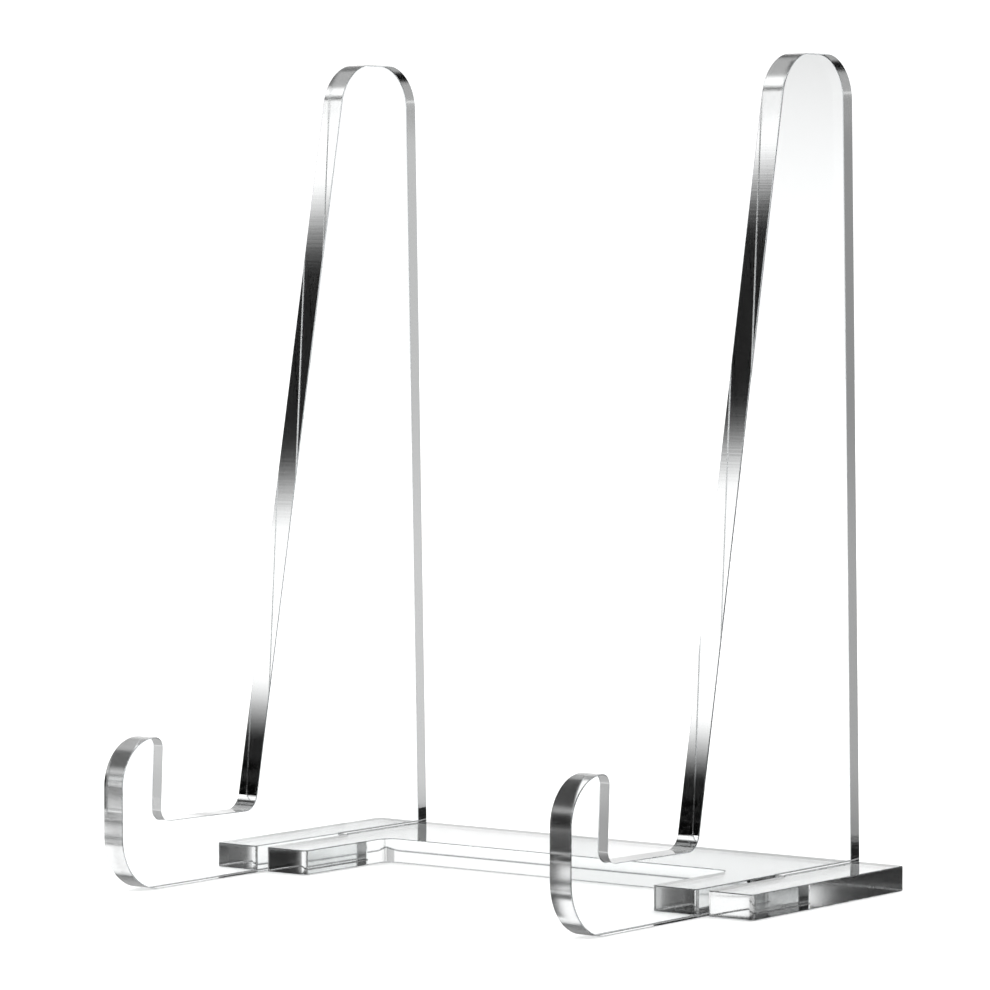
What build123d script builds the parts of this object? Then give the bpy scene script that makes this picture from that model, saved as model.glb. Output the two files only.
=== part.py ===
from build123d import *
import os

# Plate display stand: two upright plates that slot into one flat base plate.
# All three pieces are cut from the same clear acrylic sheet.
# Millimetres. +X is the viewer's right, -Y the front, +Z up.
# The origin is on the surface the stand rests on, under the middle of its footprint.
# Depths below are measured from the base's back edge, and the whole stand is centred at the end.

# Sheet and fit
sheet = 5.0              # thickness of all three pieces
side_clearance = 0.1     # air between an upright and each wall of its slot
end_clearance = 0.1      # air between an upright's notch and the blind end of its slot
corner_ease = 1.0        # rounding of the base plate's outside corners

# Base plate: a crossbar at the back with two arms forward, each split by a slot
upright_spacing = 110.0  # between the middles of the two uprights
prong_width = 10.5       # sheet left on each side of a slot
base_depth = 54.0        # back edge to prong tips
crossbar_depth = 27.0    # back edge to the front of the crossbar
slot_length = 27.0       # prong tips to the blind end of a slot
gap_fillet = 3.0         # inside corners between the arms and the crossbar

# Upright, in side view: y forward is negative
upright_height = 166.0   # surface to the top of the blade
upright_depth = 98.0     # back edge to the front of the hook
back_lean = 4.0          # how far the back edge comes forward on its way up
blade_lean = 30.2        # how far the blade's front edge goes back on its way up
ledge_height = 13.4      # surface to the ledge at the hook
ledge_fall = 0.4         # drop of the ledge towards the blade
groove_width = 29.2      # hook to the foot of the blade, along the ledge
hook_height = 30.4       # surface to the top of the hook
hook_tip_width = 12.4    # thickness of the hook at its top
hook_lean = 0.8          # how far the hook's inner face leans back at its top

# Upright corner radii
blade_front_radius = 9.8
blade_back_radius = 9.2
foot_radius = 3.5        # blade to ledge
groove_radius = 2.5      # ledge to hook
tip_radius = 2.2         # inner corner of the hook's top
hook_top_radius = 9.5    # outer sweep of the hook, upper half
hook_heel_radius = 11.0  # outer sweep of the hook, down to the surface

# Worked out from the sizes above
slot_width = sheet + 2 * side_clearance
slot_end_y = -(base_depth - slot_length)
notch_front_y = slot_end_y - end_clearance
arm_half_width = slot_width / 2 + prong_width
base_half_width = upright_spacing / 2 + arm_half_width
gap_half_width = upright_spacing / 2 - arm_half_width


def base_plate():
    """Flat plate with a wide bay between its arms and a slot, open to the front, in each arm."""
    middle_y = -base_depth / 2
    outline = Pos(0, middle_y) * Rectangle(2 * base_half_width, base_depth)
    bay_length = base_depth - crossbar_depth
    bay = Pos(0, -crossbar_depth - bay_length / 2) * Rectangle(2 * gap_half_width, bay_length)
    outline = outline - bay
    for side in (-1, 1):
        slot_middle = Pos(side * upright_spacing / 2, slot_end_y - slot_length / 2)
        outline = outline - slot_middle * Rectangle(slot_width, slot_length)
    bay_corners = []
    outside_corners = []
    for corner in outline.vertices():
        at_tip = abs(corner.Y + base_depth) < 1e-6
        at_back = abs(corner.Y) < 1e-6
        at_bay = abs(abs(corner.X) - gap_half_width) < 1e-6
        if at_tip or at_back:
            outside_corners.append(corner)
        elif at_bay:
            bay_corners.append(corner)
    outline = fillet(outside_corners, corner_ease)
    inside = [corner for corner in outline.vertices()
              if min((corner.center() - other.center()).length for other in bay_corners) < 1e-6]
    outline = fillet(inside, gap_fillet)
    return extrude(outline, amount=sheet)


def upright(middle_x):
    """Upright plate: blade, ledge and hook in one outline, notched to sit over the crossbar."""
    front_y = -upright_depth
    hook_inner_top_y = front_y + hook_tip_width
    hook_inner_foot_y = hook_inner_top_y - hook_lean
    foot_y = hook_inner_foot_y + groove_width
    foot_z = ledge_height - ledge_fall
    corners = [
        # side-view position, corner radius
        ((0, sheet), 0),
        ((notch_front_y, sheet), 0),
        ((notch_front_y, 0), 0),
        ((front_y, 0), hook_heel_radius),
        ((front_y, hook_height), hook_top_radius),
        ((hook_inner_top_y, hook_height), tip_radius),
        ((hook_inner_foot_y, ledge_height), groove_radius),
        ((foot_y, foot_z), foot_radius),
        ((foot_y + blade_lean, upright_height), blade_front_radius),
        ((-back_lean, upright_height), blade_back_radius),
    ]
    points = [Vector(0, y, z) for (y, z), _ in corners]
    radii = [radius for _, radius in corners]
    outline = FilletPolyline(*points, radius=radii, close=True)
    face = make_face(outline)
    plate = extrude(face, amount=sheet, dir=(1, 0, 0))
    return Pos(middle_x - sheet / 2, 0, 0) * plate


os.makedirs("parts", exist_ok=True)
centred = Pos(0, upright_depth / 2, 0)
pieces = {
    "base_plate": centred * base_plate(),
    "left_upright": centred * upright(-upright_spacing / 2),
    "right_upright": centred * upright(upright_spacing / 2),
}
for name, piece in pieces.items():
    export_step(piece, f"parts/{name}.step")
    size = piece.bounding_box().size
    print(name, "volume", round(piece.volume), "size", [round(v, 2) for v in (size.X, size.Y, size.Z)])
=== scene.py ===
# %% [markdown]
# # A clear plate stand
# The stand is three flat pieces cut from one sheet of clear acrylic: a base with two slotted
# arms, and two uprights that drop into the slots. Almost everything the eye reads as the stand
# is the cut edge of the sheet, so this lesson spends its care on the edges: their rounded
# corners, the fine break along both rims, the polish, and the light that they catch.

# %% Load the frame
import math

import bmesh
import bpy
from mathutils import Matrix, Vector


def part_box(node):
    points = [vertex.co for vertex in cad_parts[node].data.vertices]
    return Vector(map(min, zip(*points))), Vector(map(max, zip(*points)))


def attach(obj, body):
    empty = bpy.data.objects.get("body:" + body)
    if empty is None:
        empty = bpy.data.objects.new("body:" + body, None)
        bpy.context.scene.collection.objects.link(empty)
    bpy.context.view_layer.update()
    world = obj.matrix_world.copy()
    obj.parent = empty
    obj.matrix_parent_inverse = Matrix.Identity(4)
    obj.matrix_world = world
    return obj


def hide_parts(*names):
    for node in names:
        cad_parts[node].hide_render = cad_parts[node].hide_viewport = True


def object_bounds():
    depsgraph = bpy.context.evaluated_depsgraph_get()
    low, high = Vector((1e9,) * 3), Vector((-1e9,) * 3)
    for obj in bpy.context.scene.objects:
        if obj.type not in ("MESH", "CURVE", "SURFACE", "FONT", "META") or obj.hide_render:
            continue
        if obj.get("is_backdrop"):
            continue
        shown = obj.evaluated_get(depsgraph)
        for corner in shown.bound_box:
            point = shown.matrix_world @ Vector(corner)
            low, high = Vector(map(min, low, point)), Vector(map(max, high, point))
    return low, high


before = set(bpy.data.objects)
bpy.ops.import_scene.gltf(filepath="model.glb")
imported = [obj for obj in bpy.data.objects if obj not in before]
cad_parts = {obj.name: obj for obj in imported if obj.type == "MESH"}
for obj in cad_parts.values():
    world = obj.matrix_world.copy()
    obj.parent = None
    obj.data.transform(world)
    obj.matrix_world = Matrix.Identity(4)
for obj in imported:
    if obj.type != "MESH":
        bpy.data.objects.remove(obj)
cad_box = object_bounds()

MM = 0.001

# %% [markdown]
# ## Sizes
# The frame says where each piece starts and ends. What it can't say is the shape in between,
# so the arms and slots of the base, and the hook, the ledge and the lean of the blade, are
# named here. The film of air is what really separates two pieces of acrylic that lie on each
# other. Without it the light would pass straight from one to the other, and the joint would
# vanish.

# %% The sheet and the places of the three pieces
base_low, base_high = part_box("base_plate")
left_low, left_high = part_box("left_upright")
right_low, right_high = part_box("right_upright")
SHEET = base_high.z - base_low.z
AIR_FILM = 0.03 * MM
EDGE_BREAK = 0.18 * MM
SLOT_SIDE_CLEARANCE = 0.1 * MM
SLOT_END_CLEARANCE = 0.1 * MM
print("sheet", round(SHEET / MM, 3), "mm")
print("upright", [round(v / MM, 1) for v in left_high - left_low], "mm")

# %% [markdown]
# ## Sizes of the base
# The base is listed by what the cutter leaves: the crossbar, and the prong of sheet on each side
# of a slot. Widths that follow from these, such as an arm's, are worked out where the outline is
# drawn, so that changing one value keeps the rest in step.

# %% The outline of the base plate
PRONG_WIDTH = 10.5 * MM
CROSSBAR_DEPTH = 27 * MM
SLOT_LENGTH = 27 * MM
CORNER_EASE = 1 * MM
BAY_FILLET = 3 * MM
print("slot", SLOT_LENGTH / MM, "mm long, arm half", PRONG_WIDTH / MM, "mm wide")

# %% [markdown]
# ## Sizes of an upright
# An upright is read from the side. Its lengths say how far the blade leans, how high the ledge
# and the hook stand and how wide the groove between them is. The radii round the corners where
# those lines meet, because a plate's rim and a hand both slide over them.

# %% The outline of an upright
BACK_LEAN = 4 * MM
BLADE_LEAN = 30.2 * MM
LEDGE_HEIGHT = 13.4 * MM
LEDGE_FALL = 0.4 * MM
GROOVE_WIDTH = 29.2 * MM
HOOK_HEIGHT = 30.4 * MM
HOOK_TIP_WIDTH = 12.4 * MM
HOOK_LEAN = 0.8 * MM
HEEL_RADIUS = 11 * MM
HOOK_TOP_RADIUS = 9.5 * MM
HOOK_TIP_RADIUS = 2.2 * MM
GROOVE_RADIUS = 2.5 * MM
FOOT_RADIUS = 3.5 * MM
BLADE_FRONT_RADIUS = 9.8 * MM
BLADE_BACK_RADIUS = 9.2 * MM
print("room for the plate's rim", GROOVE_WIDTH / MM, "mm, hook", HOOK_HEIGHT / MM, "mm tall")

# %% [markdown]
# ## Cutting a piece from the sheet
# A laser or a router follows an outline and leaves straight walls, so each piece is an outline
# pushed through the sheet. The outline could be drawn as a curve and filled. Here it starts as
# its sharp corners only, because Blender's bevel then rounds each corner to its own radius. The
# bevel wants to know how far from the corner the arc starts, which is the radius times the
# tangent of half the turn.

# %% Round one corner
FACET_LENGTH = 0.35 * MM
FEWEST_FACETS = 6


def round_corner(bm, before, corner, after, radius, through):
    """Bevels the one edge that runs through the sheet at this corner."""
    turn = (corner - before).angle(after - corner)
    middle = corner + through / 2
    edge = min(bm.edges, key=lambda e: ((e.verts[0].co + e.verts[1].co) / 2 - middle).length)
    bmesh.ops.bevel(
        bm, geom=[edge], offset=radius * math.tan(turn / 2), offset_type="OFFSET", affect="EDGES",
        segments=max(FEWEST_FACETS, round(radius * turn / FACET_LENGTH)),
        profile=0.5, material=-1, clamp_overlap=False,
    )


print("an arc has a facet every", FACET_LENGTH / MM, "mm")

# %% [markdown]
# ## Breaking the rims
# A second, tiny bevel takes the sharpness off both rims, as scraping does on the real edge. It
# matters more than its size: it is the thin grey line that draws the stand against a white
# ground, a line darkened by painted shade in the rims' grey colour. Afterwards each facet is one
# of three finishes, which its direction tells apart: the sheet's own faces, the cut edge that
# runs straight through the sheet, and the rims between.

# %% Break both rims and sort the facets
FACE, EDGE, RIM = 0, 1, 2
NEARLY_ALONG = 0.999
NEARLY_ACROSS = 0.001
HALFWAY = 0.5
RIM_SEGMENTS = 2


def break_rims(bm, across):
    """Bevels every edge that lies in a face of the sheet."""
    rims = []
    for edge in bm.edges:
        direction = (edge.verts[1].co - edge.verts[0].co).normalized()
        if abs(direction.dot(across)) < HALFWAY:
            rims.append(edge)
    bmesh.ops.bevel(
        bm, geom=rims, offset=EDGE_BREAK, offset_type="OFFSET", affect="EDGES",
        segments=RIM_SEGMENTS, profile=0.5, material=-1, clamp_overlap=False,
    )


def sort_facets(bm, across):
    """Gives each facet the material slot of its finish, and smooths all but the flat faces."""
    bm.normal_update()
    for face in bm.faces:
        lean = abs(face.normal.dot(across))
        face.material_index = FACE if lean > NEARLY_ALONG else EDGE if lean < NEARLY_ACROSS else RIM
        face.smooth = face.material_index != FACE
    return [sum(face.material_index == slot for face in bm.faces) for slot in (FACE, EDGE, RIM)]


print("rims broken by", EDGE_BREAK / MM, "mm")

# %% [markdown]
# ## From an outline to a piece
# The steps go together in one function, because all three pieces are made alike. Where two
# facets meet at more than a few degrees the shading is told to break, so that a flat face stays
# flat up to its rim and only the arcs look round.

# %% Cut a piece
SHARP_ANGLE = math.radians(15)


def cut_from_sheet(name, corners, through):
    """A plate: its corners and their radii in order, and the vector through the sheet."""
    bm = bmesh.new()
    points = [Vector(point) for point, _ in corners]
    outline = bm.faces.new([bm.verts.new(point) for point in points])
    made = bmesh.ops.extrude_face_region(bm, geom=[outline])["geom"]
    bmesh.ops.translate(bm, verts=[v for v in made if isinstance(v, bmesh.types.BMVert)], vec=through)
    bmesh.ops.recalc_face_normals(bm, faces=bm.faces)
    for i, (_, radius) in enumerate(corners):
        if radius:
            round_corner(bm, points[i - 1], points[i], points[(i + 1) % len(points)], radius, through)
    break_rims(bm, through.normalized())
    counts = sort_facets(bm, through.normalized())
    mesh = bpy.data.meshes.new(name)
    bm.to_mesh(mesh)
    print(name, "face, edge and rim facets", counts, "volume", round(bm.calc_volume() / MM**3), "mm3")
    bm.free()
    mesh.set_sharp_from_angle(angle=SHARP_ANGLE)
    piece = bpy.data.objects.new(name, mesh)
    bpy.context.scene.collection.objects.link(piece)
    return piece


# %% [markdown]
# ## The base plate
# The base is a flat plate with a wide bay cut out of its front, which leaves a crossbar and two
# arms. Each arm is split by a slot as wide as the sheet, open to the front. Both halves are
# alike, so only the left half of the outline is listed, and the right half is its mirror image.

# %% Make the base plate
slot_half = SHEET / 2 + SLOT_SIDE_CLEARANCE
slot_x = (left_low.x + left_high.x) / 2
slot_end = base_low.y + SLOT_LENGTH
bay_end = base_high.y - CROSSBAR_DEPTH
left_half = [
    ((slot_x + slot_half + PRONG_WIDTH, bay_end), BAY_FILLET),
    ((slot_x + slot_half + PRONG_WIDTH, base_low.y), CORNER_EASE),
    ((slot_x + slot_half, base_low.y), CORNER_EASE),
    ((slot_x + slot_half, slot_end), 0),
    ((slot_x - slot_half, slot_end), 0),
    ((slot_x - slot_half, base_low.y), CORNER_EASE),
    ((base_low.x, base_low.y), CORNER_EASE),
    ((base_low.x, base_high.y), CORNER_EASE),
]
right_half = [((-x, y), radius) for (x, y), radius in reversed(left_half)]
base_corners = [((x, y, base_low.z), radius) for (x, y), radius in left_half + right_half]
base_plate = cut_from_sheet("base_plate_clear", base_corners, Vector((0, 0, SHEET)))

# %% [markdown]
# ## The uprights
# Seen from the side, an upright is a tall blade that leans back, a nearly level ledge for the
# plate's rim, and a hook that curls up in front of it. Behind the hook the bottom is cut away by
# one thickness of the sheet, so that the upright sits over the crossbar while its front part
# drops through the slot to the table. The list goes round from the notch to the blade's back.

# %% Make both uprights
def upright_corners(low, high):
    """The corners and radii at the left face of the upright that has this box."""
    notch_front = slot_end - SLOT_END_CLEARANCE
    notch_top = base_high.z + AIR_FILM
    hook_top_inner = low.y + HOOK_TIP_WIDTH
    hook_foot_inner = hook_top_inner - HOOK_LEAN
    blade_foot = hook_foot_inner + GROOVE_WIDTH
    side_view = [
        ((high.y, notch_top), 0),
        ((notch_front, notch_top), 0),
        ((notch_front, low.z), 0),
        ((low.y, low.z), HEEL_RADIUS),
        ((low.y, HOOK_HEIGHT), HOOK_TOP_RADIUS),
        ((hook_top_inner, HOOK_HEIGHT), HOOK_TIP_RADIUS),
        ((hook_foot_inner, LEDGE_HEIGHT), GROOVE_RADIUS),
        ((blade_foot, LEDGE_HEIGHT - LEDGE_FALL), FOOT_RADIUS),
        ((blade_foot + BLADE_LEAN, high.z), BLADE_FRONT_RADIUS),
        ((high.y - BACK_LEAN, high.z), BLADE_BACK_RADIUS),
    ]
    return [((low.x, y, z), radius) for (y, z), radius in side_view]


sideways = Vector((SHEET, 0, 0))
left_upright = cut_from_sheet("left_upright_clear", upright_corners(left_low, left_high), sideways)
right_upright = cut_from_sheet("right_upright_clear", upright_corners(right_low, right_high), sideways)

# %% [markdown]
# ## Shader sums
# A finish is easier to read as a sum than as boxes and wires. This class wraps one socket, so
# that adding or multiplying two of them adds the Math node that does it. Everything else comes
# from one method that takes a node's type, its settings and what goes into its sockets.

# %% A socket that can be used in sums
class Wire:
    """One output of a shader graph, usable like a number."""

    def __init__(self, tree, socket=None):
        self.tree = tree
        self.socket = socket

    def node(self, kind, settings=None, inputs=None, output=0):
        """Adds any node: its settings first, then a value or a wire for each socket."""
        made = self.tree.nodes.new(kind)
        for key, value in (settings or {}).items():
            setattr(made, key, value)
        for key, value in (inputs or {}).items():
            if isinstance(value, Wire):
                self.tree.links.new(value.socket, made.inputs[key])
            else:
                made.inputs[key].default_value = value
        return Wire(self.tree, made.outputs[output] if made.outputs else None)

    def maths(self, operation, *others):
        """A Math node whose first input is this wire."""
        return self.node("ShaderNodeMath", {"operation": operation}, dict(enumerate((self, *others))))

    def __add__(self, other):
        return self.maths("ADD", other)

    def __sub__(self, other):
        return self.maths("SUBTRACT", other)

    def __rsub__(self, other):
        return self * -1 + other

    def __mul__(self, other):
        return self.maths("MULTIPLY", other)

    __radd__ = __add__
    __rmul__ = __mul__


print("sums ready:", [name for name in vars(Wire) if name.endswith(("add__", "sub__", "mul__"))])

# %% [markdown]
# ## Three helpers for every graph
# Each graph starts empty, most masks rise smoothly between two values, and places are often
# wanted as separate x, y and z.

# %% Start a graph, rise smoothly, split a vector
def empty_graph(holder):
    """Clears a material's or a world's nodes and gives a wire to start from."""
    holder.use_nodes = True
    holder.node_tree.nodes.clear()
    return Wire(holder.node_tree)


def smooth_step(value, start, end):
    """Rises smoothly from 0 at start to 1 at end."""
    return value.node("ShaderNodeMapRange", {"interpolation_type": "SMOOTHSTEP"}, {
        "Value": value, "From Min": start, "From Max": end})


def parts_of(vector):
    """The x, y and z of a vector wire."""
    split = vector.node("ShaderNodeSeparateXYZ", inputs={0: vector}).socket.node
    return [Wire(vector.tree, socket) for socket in split.outputs]


print("helpers ready:", empty_graph.__name__, smooth_step.__name__, parts_of.__name__)

# %% [markdown]
# ## Clear acrylic
# Acrylic bends light a little less than window glass does and hardly colours it. It could be
# faked with transparency, but then the edges would stay empty: their dark and bright stretches
# are light that has bounced inside the sheet, so the plastic is made to refract. What differs
# from finish to finish is the colour of the surface, its roughness and its fine relief.

# %% The plastic that every finish shares
ACRYLIC_IOR = 1.49
CLEAR = (0.985, 0.995, 0.995, 1)


def clear_acrylic(name, colour, roughness, relief=None):
    """A clear plastic. roughness(graph) and relief(graph) draw what changes over the surface."""
    material = bpy.data.materials.new(name)
    graph = empty_graph(material)
    sockets = {
        "Base Color": colour,
        "Roughness": roughness(graph),
        "IOR": ACRYLIC_IOR,
        "Transmission Weight": 1.0,
    }
    if relief:
        sockets["Normal"] = relief(graph)
    surface = graph.node("ShaderNodeBsdfPrincipled", None, sockets)
    graph.node("ShaderNodeOutputMaterial", None, {"Surface": surface})
    print(name, "nodes", len(material.node_tree.nodes))
    return material


# %% [markdown]
# ## The sheet's own faces
# A cast sheet leaves the mould as smooth as glass. All that handling leaves on it is a trace of
# haze in soft patches, a few centimetres across, so a slow noise is clipped to its peaks and
# turned into very little roughness.

# %% Faces with a trace of haze
HAZE_PATCHES = 28.0
HAZE_DETAIL = 4.0
HAZE_PEAKS = (0.52, 0.80)
HAZE_ROUGHNESS = 0.025


def haze(graph):
    """Roughness in soft patches, and none between them."""
    place = graph.node("ShaderNodeTexCoord", output="Object")
    patches = graph.node("ShaderNodeTexNoise", None, {
        "Vector": place, "Scale": HAZE_PATCHES, "Detail": HAZE_DETAIL})
    return smooth_step(patches, *HAZE_PEAKS) * HAZE_ROUGHNESS


sheet_face = clear_acrylic("acrylic_sheet_face", CLEAR, haze)

# %% [markdown]
# ## Cutting lines
# A cut edge is polished after sawing or lasering, but fine lines still run straight through the
# sheet, where the cutter passed. Noise makes them when its coordinates are squeezed along the
# line's own direction: side to side on an upright, and up and down on the base. The lines are
# both a little relief and a little unevenness in the polish.

# %% Lines that run through the sheet
SQUEEZE = 0.02
THROUGH_UPRIGHT = (SQUEEZE, 1, 1)
THROUGH_BASE = (1, 1, SQUEEZE)
FINE_LINES, FINE_DETAIL, FINE_SHARE = 2600.0, 2.0, 0.4
SLOW_LINES, SLOW_DETAIL, SLOW_SHARE = 260.0, 1.0, 0.6
LINE_DEPTH = 0.004 * MM
LINE_STRENGTH = 0.5


def striations(graph, stretch):
    """Noise around a half, drawn out into lines along the squeezed axis."""
    place = graph.node("ShaderNodeTexCoord", output="Object")
    squeezed = graph.node("ShaderNodeMapping", None, {"Vector": place, "Scale": stretch})
    fine = graph.node("ShaderNodeTexNoise", None, {
        "Vector": squeezed, "Scale": FINE_LINES, "Detail": FINE_DETAIL})
    slow = graph.node("ShaderNodeTexNoise", None, {
        "Vector": squeezed, "Scale": SLOW_LINES, "Detail": SLOW_DETAIL})
    return fine * FINE_SHARE + slow * SLOW_SHARE


def cutting_relief(stretch):
    """The relief of the cutting lines, as a function that draws it in a graph."""
    return lambda graph: graph.node("ShaderNodeBump", None, {
        "Height": striations(graph, stretch), "Distance": LINE_DEPTH, "Strength": LINE_STRENGTH})


print("cutting lines about", round(1000 / FINE_LINES, 1), "and", round(1000 / SLOW_LINES, 1), "mm apart")

# %% [markdown]
# ## Cut edges
# The long straight edges are made glossy, as a polishing wheel leaves them. Round the top of a
# blade and round a hook a wheel is harder to hold flat, so those curves are made a little softer,
# and what they mirror melts into even greys. The base gets less polish than the uprights, and its
# edge gets a grey that is painted shade, so that it stays quieter than they are.

# %% The edges of the uprights and of the base
# The base edge's grey is painted shade: the base is the same clear sheet as the uprights.
BASE_EDGE_PAINTED_SHADE = (0.88, 0.89, 0.89, 1)
UNEVEN_POLISH = 0.05
EVEN_POLISH = 0.01
BASE_ROUGHNESS = 0.04
BUFFED_ROUGHNESS = 0.13
TOP_STARTS, TOP_FULL = 20 * MM, 8 * MM
HOOK_FULL = 6 * MM


def buffed_curves(graph):
    """Extra roughness round the top of the blade and round the hook."""
    _, y, z = parts_of(graph.node("ShaderNodeTexCoord", output="Object"))
    top = smooth_step(z, left_high.z - TOP_STARTS, left_high.z - TOP_FULL)
    hook = 1 - smooth_step(y, left_low.y + HOOK_FULL, left_low.y + HOOK_TIP_WIDTH)
    return (top + hook) * BUFFED_ROUGHNESS


def polish(graph, stretch):
    """The roughness that the wheel leaves along the cutting lines."""
    return striations(graph, stretch) * UNEVEN_POLISH + EVEN_POLISH


upright_edge = clear_acrylic(
    "acrylic_upright_edge", CLEAR,
    lambda graph: polish(graph, THROUGH_UPRIGHT) + buffed_curves(graph), cutting_relief(THROUGH_UPRIGHT))
base_edge = clear_acrylic(
    "acrylic_base_edge_painted_shade", BASE_EDGE_PAINTED_SHADE,
    lambda graph: polish(graph, THROUGH_BASE) + BASE_ROUGHNESS, cutting_relief(THROUGH_BASE))

# %% [markdown]
# ## Broken rims
# The rims are scraped, not polished, so they scatter light, which their roughness gives. Their
# grey is painted shade: it lets less light through and darkens them into a thin line, without
# hiding the joint between the rim and the edge.

# %% The rims, and all three finishes on each piece
# The rims' grey is painted shade; the roughness is the real scraped finish.
RIM_PAINTED_SHADE = (0.33, 0.35, 0.36, 1)
RIM_ROUGHNESS = 0.5
EVERY_WAY = (1, 1, 1)
rim = clear_acrylic(
    "acrylic_broken_rim_painted_shade", RIM_PAINTED_SHADE, lambda graph: striations(graph, EVERY_WAY) * RIM_ROUGHNESS)
for piece, edge in (
    (base_plate, base_edge),
    (left_upright, upright_edge),
    (right_upright, upright_edge),
):
    for material in (sheet_face, edge, rim):
        piece.data.materials.append(material)
    print(piece.name, [material.name for material in piece.data.materials])

# %% [markdown]
# ## What moves with what
# The stand comes apart for packing: each upright lifts straight out of its slot while the base
# stays on the table. So each clear piece rides on its own body, and takes the place of the plain
# solid that was there.

# %% Which body each piece rides on
for piece, body, node in (
    (base_plate, "base", "base_plate"),
    (left_upright, "left_stand", "left_upright"),
    (right_upright, "right_stand", "right_upright"),
):
    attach(piece, body)
    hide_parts(node)
    print(piece.name, "rides on", body, "for", node)

# %% [markdown]
# ## The studio
# A clear object on white paper in even white light is nearly invisible. A photographer brings it
# out with black cards, placed where the edges mirror them. Real cards would also show beside the
# stand and shade the paper. Here they don't: the floor and the dome are plain white to the eye,
# and so is the light that falls on the floor, even through the plastic, so nothing greys the
# paper under the base. Only light that has been mirrored on its way, which the glossy depth
# counts, sees the cards.

# %% How bright things are, and which light sees the cards
BACKGROUND_LIGHT = 1.2
FLOOR_LIGHT = 1.7
WHITE = (1, 1, 1, 1)
BLACK = (0, 0, 0, 1)
HALF_A_BOUNCE = 0.5


def lights_paper(graph):
    """1 for light that ends on the white paper, otherwise 0."""
    bounces = graph.node("ShaderNodeLightPath", output="Diffuse Depth")
    return bounces.maths("GREATER_THAN", HALF_A_BOUNCE)


def mirrored(graph):
    """1 for light that has been mirrored on its way and doesn't end on the paper, otherwise 0."""
    bounces = graph.node("ShaderNodeLightPath", output="Glossy Depth")
    return bounces.maths("GREATER_THAN", HALF_A_BOUNCE) * (1 - lights_paper(graph))


print("background", BACKGROUND_LIGHT, "floor light", FLOOR_LIGHT)

# %% [markdown]
# ## The floor
# The floor is one large white sheet of paper, a hair below the feet. One grid face is enough,
# since nothing on it needs shape.

# %% A large white floor
FLOOR_HALF = 3.0
FLOOR_DROP = 0.2 * MM
PAPER = (0.95, 0.95, 0.95, 1)
floor_mesh = bpy.data.meshes.new("floor")
bm = bmesh.new()
bmesh.ops.create_grid(bm, x_segments=1, y_segments=1, size=FLOOR_HALF)
bmesh.ops.translate(bm, verts=bm.verts, vec=(0, 0, -FLOOR_DROP))
bm.to_mesh(floor_mesh)
bm.free()
floor = bpy.data.objects.new("floor", floor_mesh)
bpy.context.scene.collection.objects.link(floor)
floor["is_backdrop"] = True
print("floor", FLOOR_HALF * 2, "m square")

# %% [markdown]
# ## Cards on the floor
# For mirrored light the floor holds two cards: one on the table behind the stand, which the feet
# of the blades mirror, and one close to the right end of the base. Everywhere else mirrored light
# passes through the paper and sees the dome, so that the cut edges aren't filled with flat white.

# %% The two cards on the floor
SIDE_CARD_FROM, SIDE_CARD_FULL = 30 * MM, 60 * MM
SIDE_CARD_END, SIDE_CARD_GONE = 5 * MM, 40 * MM
BACK_CARD_FROM, BACK_CARD_FULL = 0, 25 * MM
BACK_CARD_END, BACK_CARD_GONE = 100 * MM, 158 * MM


def floor_cards(graph):
    """1 where a card lies on the floor, otherwise 0."""
    x, y, _ = parts_of(graph.node("ShaderNodeTexCoord", output="Object"))
    past_side = (x.maths("ABSOLUTE") - base_high.x).maths("MAXIMUM", 0)
    past_front = (y.maths("ABSOLUTE") - base_high.y).maths("MAXIMUM", 0)
    away = (past_side * past_side + past_front * past_front).maths("SQRT")
    beside = smooth_step(x, SIDE_CARD_FROM, SIDE_CARD_FULL)
    beside = beside * (1 - smooth_step(away, SIDE_CARD_END, SIDE_CARD_GONE))
    behind = smooth_step(y, BACK_CARD_FROM, BACK_CARD_FULL)
    behind = behind * (1 - smooth_step(y, BACK_CARD_END, BACK_CARD_GONE))
    return beside.maths("MAXIMUM", behind)


paper = bpy.data.materials.new("white_paper")
graph = empty_graph(paper)
card = graph.node("ShaderNodeEmission", None, {"Color": BLACK, "Strength": 0.0})
open_air = graph.node("ShaderNodeBsdfTransparent", None, {"Color": WHITE})
card_or_dome = graph.node("ShaderNodeMixShader", None, {0: floor_cards(graph), 1: open_air, 2: card})
white = graph.node("ShaderNodeBsdfDiffuse", None, {"Color": PAPER})
seen = graph.node("ShaderNodeMixShader", None, {0: mirrored(graph), 1: white, 2: card_or_dome})
graph.node("ShaderNodeOutputMaterial", None, {"Surface": seen})
floor.data.materials.append(paper)
print(paper.name, "nodes", len(paper.node_tree.nodes))

# %% [markdown]
# ## The dome and its cards
# The dome is described by direction: x to the right, y away from the front, and height as the
# sine of the angle above the table. Each card is a soft-edged window in those three, with the
# brightness that mirrored light finds there. A low card in front greys the thin back edges of
# the blades, a high one in front blackens the outside of the edges that lean back, and the ones
# behind give each end of the base its own grey.

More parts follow.
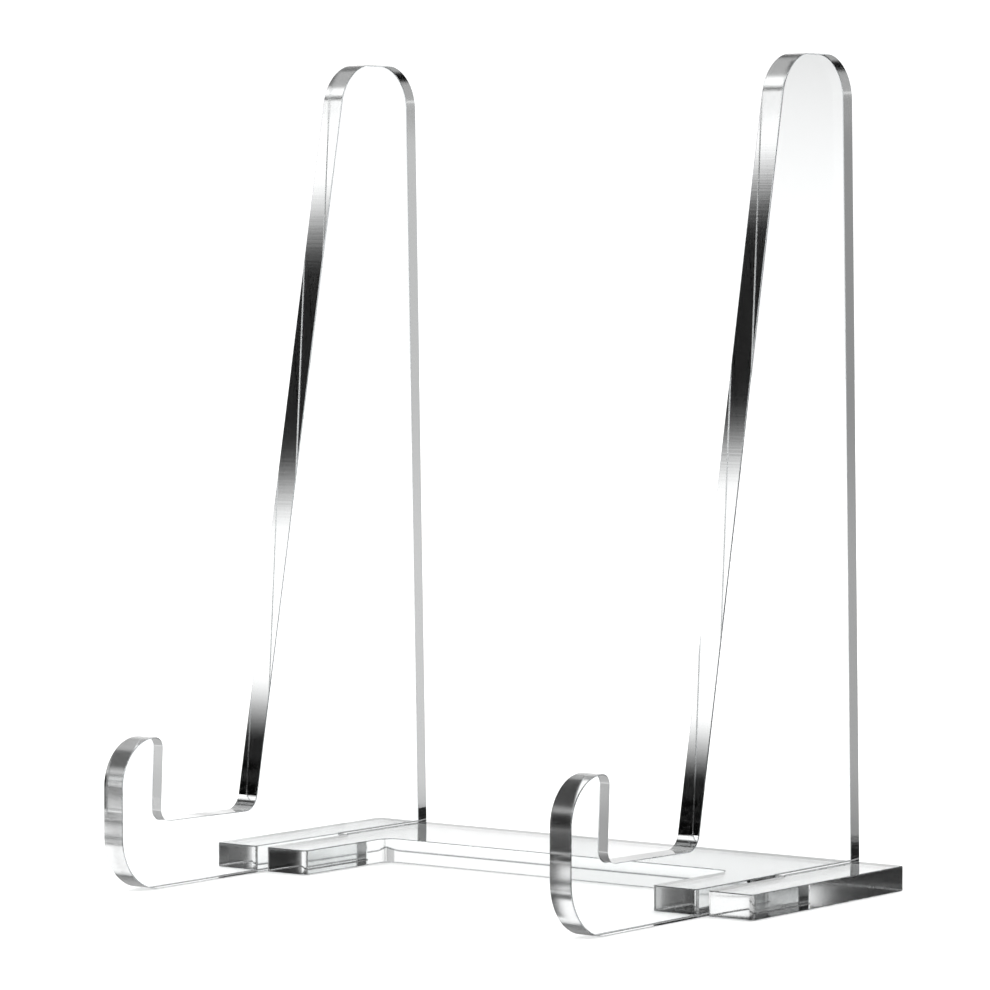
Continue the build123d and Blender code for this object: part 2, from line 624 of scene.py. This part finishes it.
# %% A list of cards
ANY = (-2.0, 2.0)
OPEN_DOME = 1.25
CARDS = [
    # name, x from and to, y from and to, height from and to, softness, brightness
    ("table far off", ANY, ANY, (-1.0, -0.34), 0.05, 0.42),
    ("table to the right", (0.30, 2.0), (0.30, 2.0), (-0.60, -0.38), 0.04, 0.09),
    ("front wall, low", ANY, (-2.0, -0.40), (-0.25, 0.00), 0.05, 0.30),
    ("front wall, low left", (-2.0, -0.60), (-2.0, -0.40), (-0.25, 0.00), 0.03, 0.58),
    ("front wall, high", ANY, (-2.0, -0.30), (0.05, 2.0), 0.05, 0.02),
    ("back wall, left", (-2.0, -0.50), (0.20, 0.62), (0.00, 0.30), 0.04, 0.68),
    ("horizon, left", (-0.62, -0.50), (0.64, 2.0), (-0.03, 0.01), 0.02, 0.10),
    ("back wall, right", (0.10, 0.30), (0.40, 2.0), (-0.03, 0.30), 0.05, 0.11),
    ("back wall, darkest", (0.37, 0.62), (0.40, 2.0), (-0.03, 0.25), 0.04, 0.00),
    ("ceiling", ANY, ANY, (0.45, 2.0), 0.10, 0.40),
]


def window(value, span, soft):
    """1 inside the span, falling smoothly to 0 over the softness on each side of it."""
    low, high = span
    rises = 1 if low <= ANY[0] else smooth_step(value, low - soft, low)
    falls = 1 if high >= ANY[1] else 1 - smooth_step(value, high, high + soft)
    return rises * falls


world = bpy.data.worlds.new("studio_dome")
bpy.context.scene.world = world
graph = empty_graph(world)
x, y, height = parts_of(graph.node("ShaderNodeTexCoord", output="Generated"))
cards = OPEN_DOME
for name, span_x, span_y, span_height, soft, brightness in CARDS:
    mask = window(height, span_height, soft) * window(x, span_x, soft) * window(y, span_y, soft)
    cards = cards + mask * (brightness - cards)
print(len(CARDS), "cards in the dome")

# %% [markdown]
# ## The dark band
# The long dark stretch that slides along the front of each blade is one black strip low behind
# the stand, mirrored by the blade's inner sides. Every step down the blade looks a little lower,
# so a narrow band in the dome becomes a long, soft-ended one on the blade. It is tilted slightly
# so that it sits at the same place on both blades. Its mask is squared to deepen its middle.

# %% One soft black band behind the stand
BAND = (-0.1645, -0.1390)
BAND_SOFTNESS = 0.027
BAND_TILT = 0.19
BAND_MIDDLE_X = 0.57
BAND_BEHIND = (0.45, 0.60)
tilted = height - (BAND_MIDDLE_X - x.maths("ABSOLUTE")) * BAND_TILT
outside_band = 1 - window(tilted, BAND, BAND_SOFTNESS) * smooth_step(y, *BAND_BEHIND)
cards = cards * outside_band * outside_band
print("band from", [round(math.degrees(math.asin(h)), 1) for h in BAND], "degrees")

# %% [markdown]
# ## The plain dome
# Everything that isn't mirrored light sees an even white. Light on its way to the floor finds
# more of it, which bleaches the shadows out of the paper. Light that comes straight through the
# plastic meets a faint grey corner high up. From this camera it lies behind the right-hand blade,
# and it is all that shows that the blade has a face.

# %% The world's two kinds of light
CORNER_SHADE = 0.42
CORNER_X = (-0.61, -0.55)
CORNER_HEIGHT = (0.0, 0.065)
on_floor = lights_paper(graph)
through = graph.node("ShaderNodeLightPath", output="Is Transmission Ray") * (1 - on_floor)
corner = smooth_step(x, *CORNER_X) * smooth_step(height, *CORNER_HEIGHT)
plain = BACKGROUND_LIGHT + on_floor * (FLOOR_LIGHT - BACKGROUND_LIGHT) - through * corner * CORNER_SHADE
inside = mirrored(graph)
strength = inside * cards + (1 - inside) * plain
light = graph.node("ShaderNodeBackground", None, {"Color": WHITE, "Strength": strength})
graph.node("ShaderNodeOutputWorld", None, {"Surface": light})
print(world.name, "nodes", len(world.node_tree.nodes))

# %% [markdown]
# ## The camera
# The stand is seen from its right front, almost level with its middle, with a long lens from
# about a metre away. A camera could be turned by three angles, but it is simpler to say which way
# it looks back from the target, and let Blender work out the turn.

# %% Camera
VIEW_AZIMUTH = math.radians(37.108)
VIEW_ELEVATION = math.radians(3.035)
VIEW_DISTANCE = 963 * MM
VIEW_TARGET = Vector((0, 3.77, 78.67)) * MM
SENSOR_WIDTH = 36
LENS = 175.6
NEAREST_SEEN = 0.01
back = Vector((
    math.sin(VIEW_AZIMUTH) * math.cos(VIEW_ELEVATION),
    -math.cos(VIEW_AZIMUTH) * math.cos(VIEW_ELEVATION),
    math.sin(VIEW_ELEVATION),
))
camera_data = bpy.data.cameras.new("camera")
camera_data.sensor_width = SENSOR_WIDTH
camera_data.lens = LENS
camera_data.clip_start = NEAREST_SEEN
camera = bpy.data.objects.new("camera", camera_data)
camera.location = VIEW_TARGET + back * VIEW_DISTANCE
camera.rotation_euler = back.to_track_quat("Z", "Y").to_euler()
bpy.context.scene.collection.objects.link(camera)
bpy.context.scene.camera = camera
print("camera at", [round(v / MM) for v in camera.location], "mm")

# %% [markdown]
# ## Bounces and colours
# Light zigzags many times between the two faces of a sheet before it leaves at an edge, so the
# few bounces that suit other scenes would turn the edges black. The plain colour transform keeps
# white paper white.

# %% Enough bounces, and white that stays white
BOUNCES = 48
SEE_THROUGH_BOUNCES = 16
scene = bpy.context.scene
scene.view_settings.view_transform = "Standard"
scene.cycles.max_bounces = BOUNCES
scene.cycles.glossy_bounces = BOUNCES
scene.cycles.transmission_bounces = BOUNCES
scene.cycles.transparent_max_bounces = SEE_THROUGH_BOUNCES
print("bounces", scene.cycles.max_bounces, "colours", scene.view_settings.view_transform)

# %% [markdown]
# ## Finish
# The box of the plain model and the box of the finished one are printed side by side, to show
# that nothing has grown.

# %% Print the sizes and finish
boxes = {"cad": cad_box, "visual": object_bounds()}
for name, box in boxes.items():
    print(name, "box in mm", [round(v / MM, 1) for corner in box for v in corner])
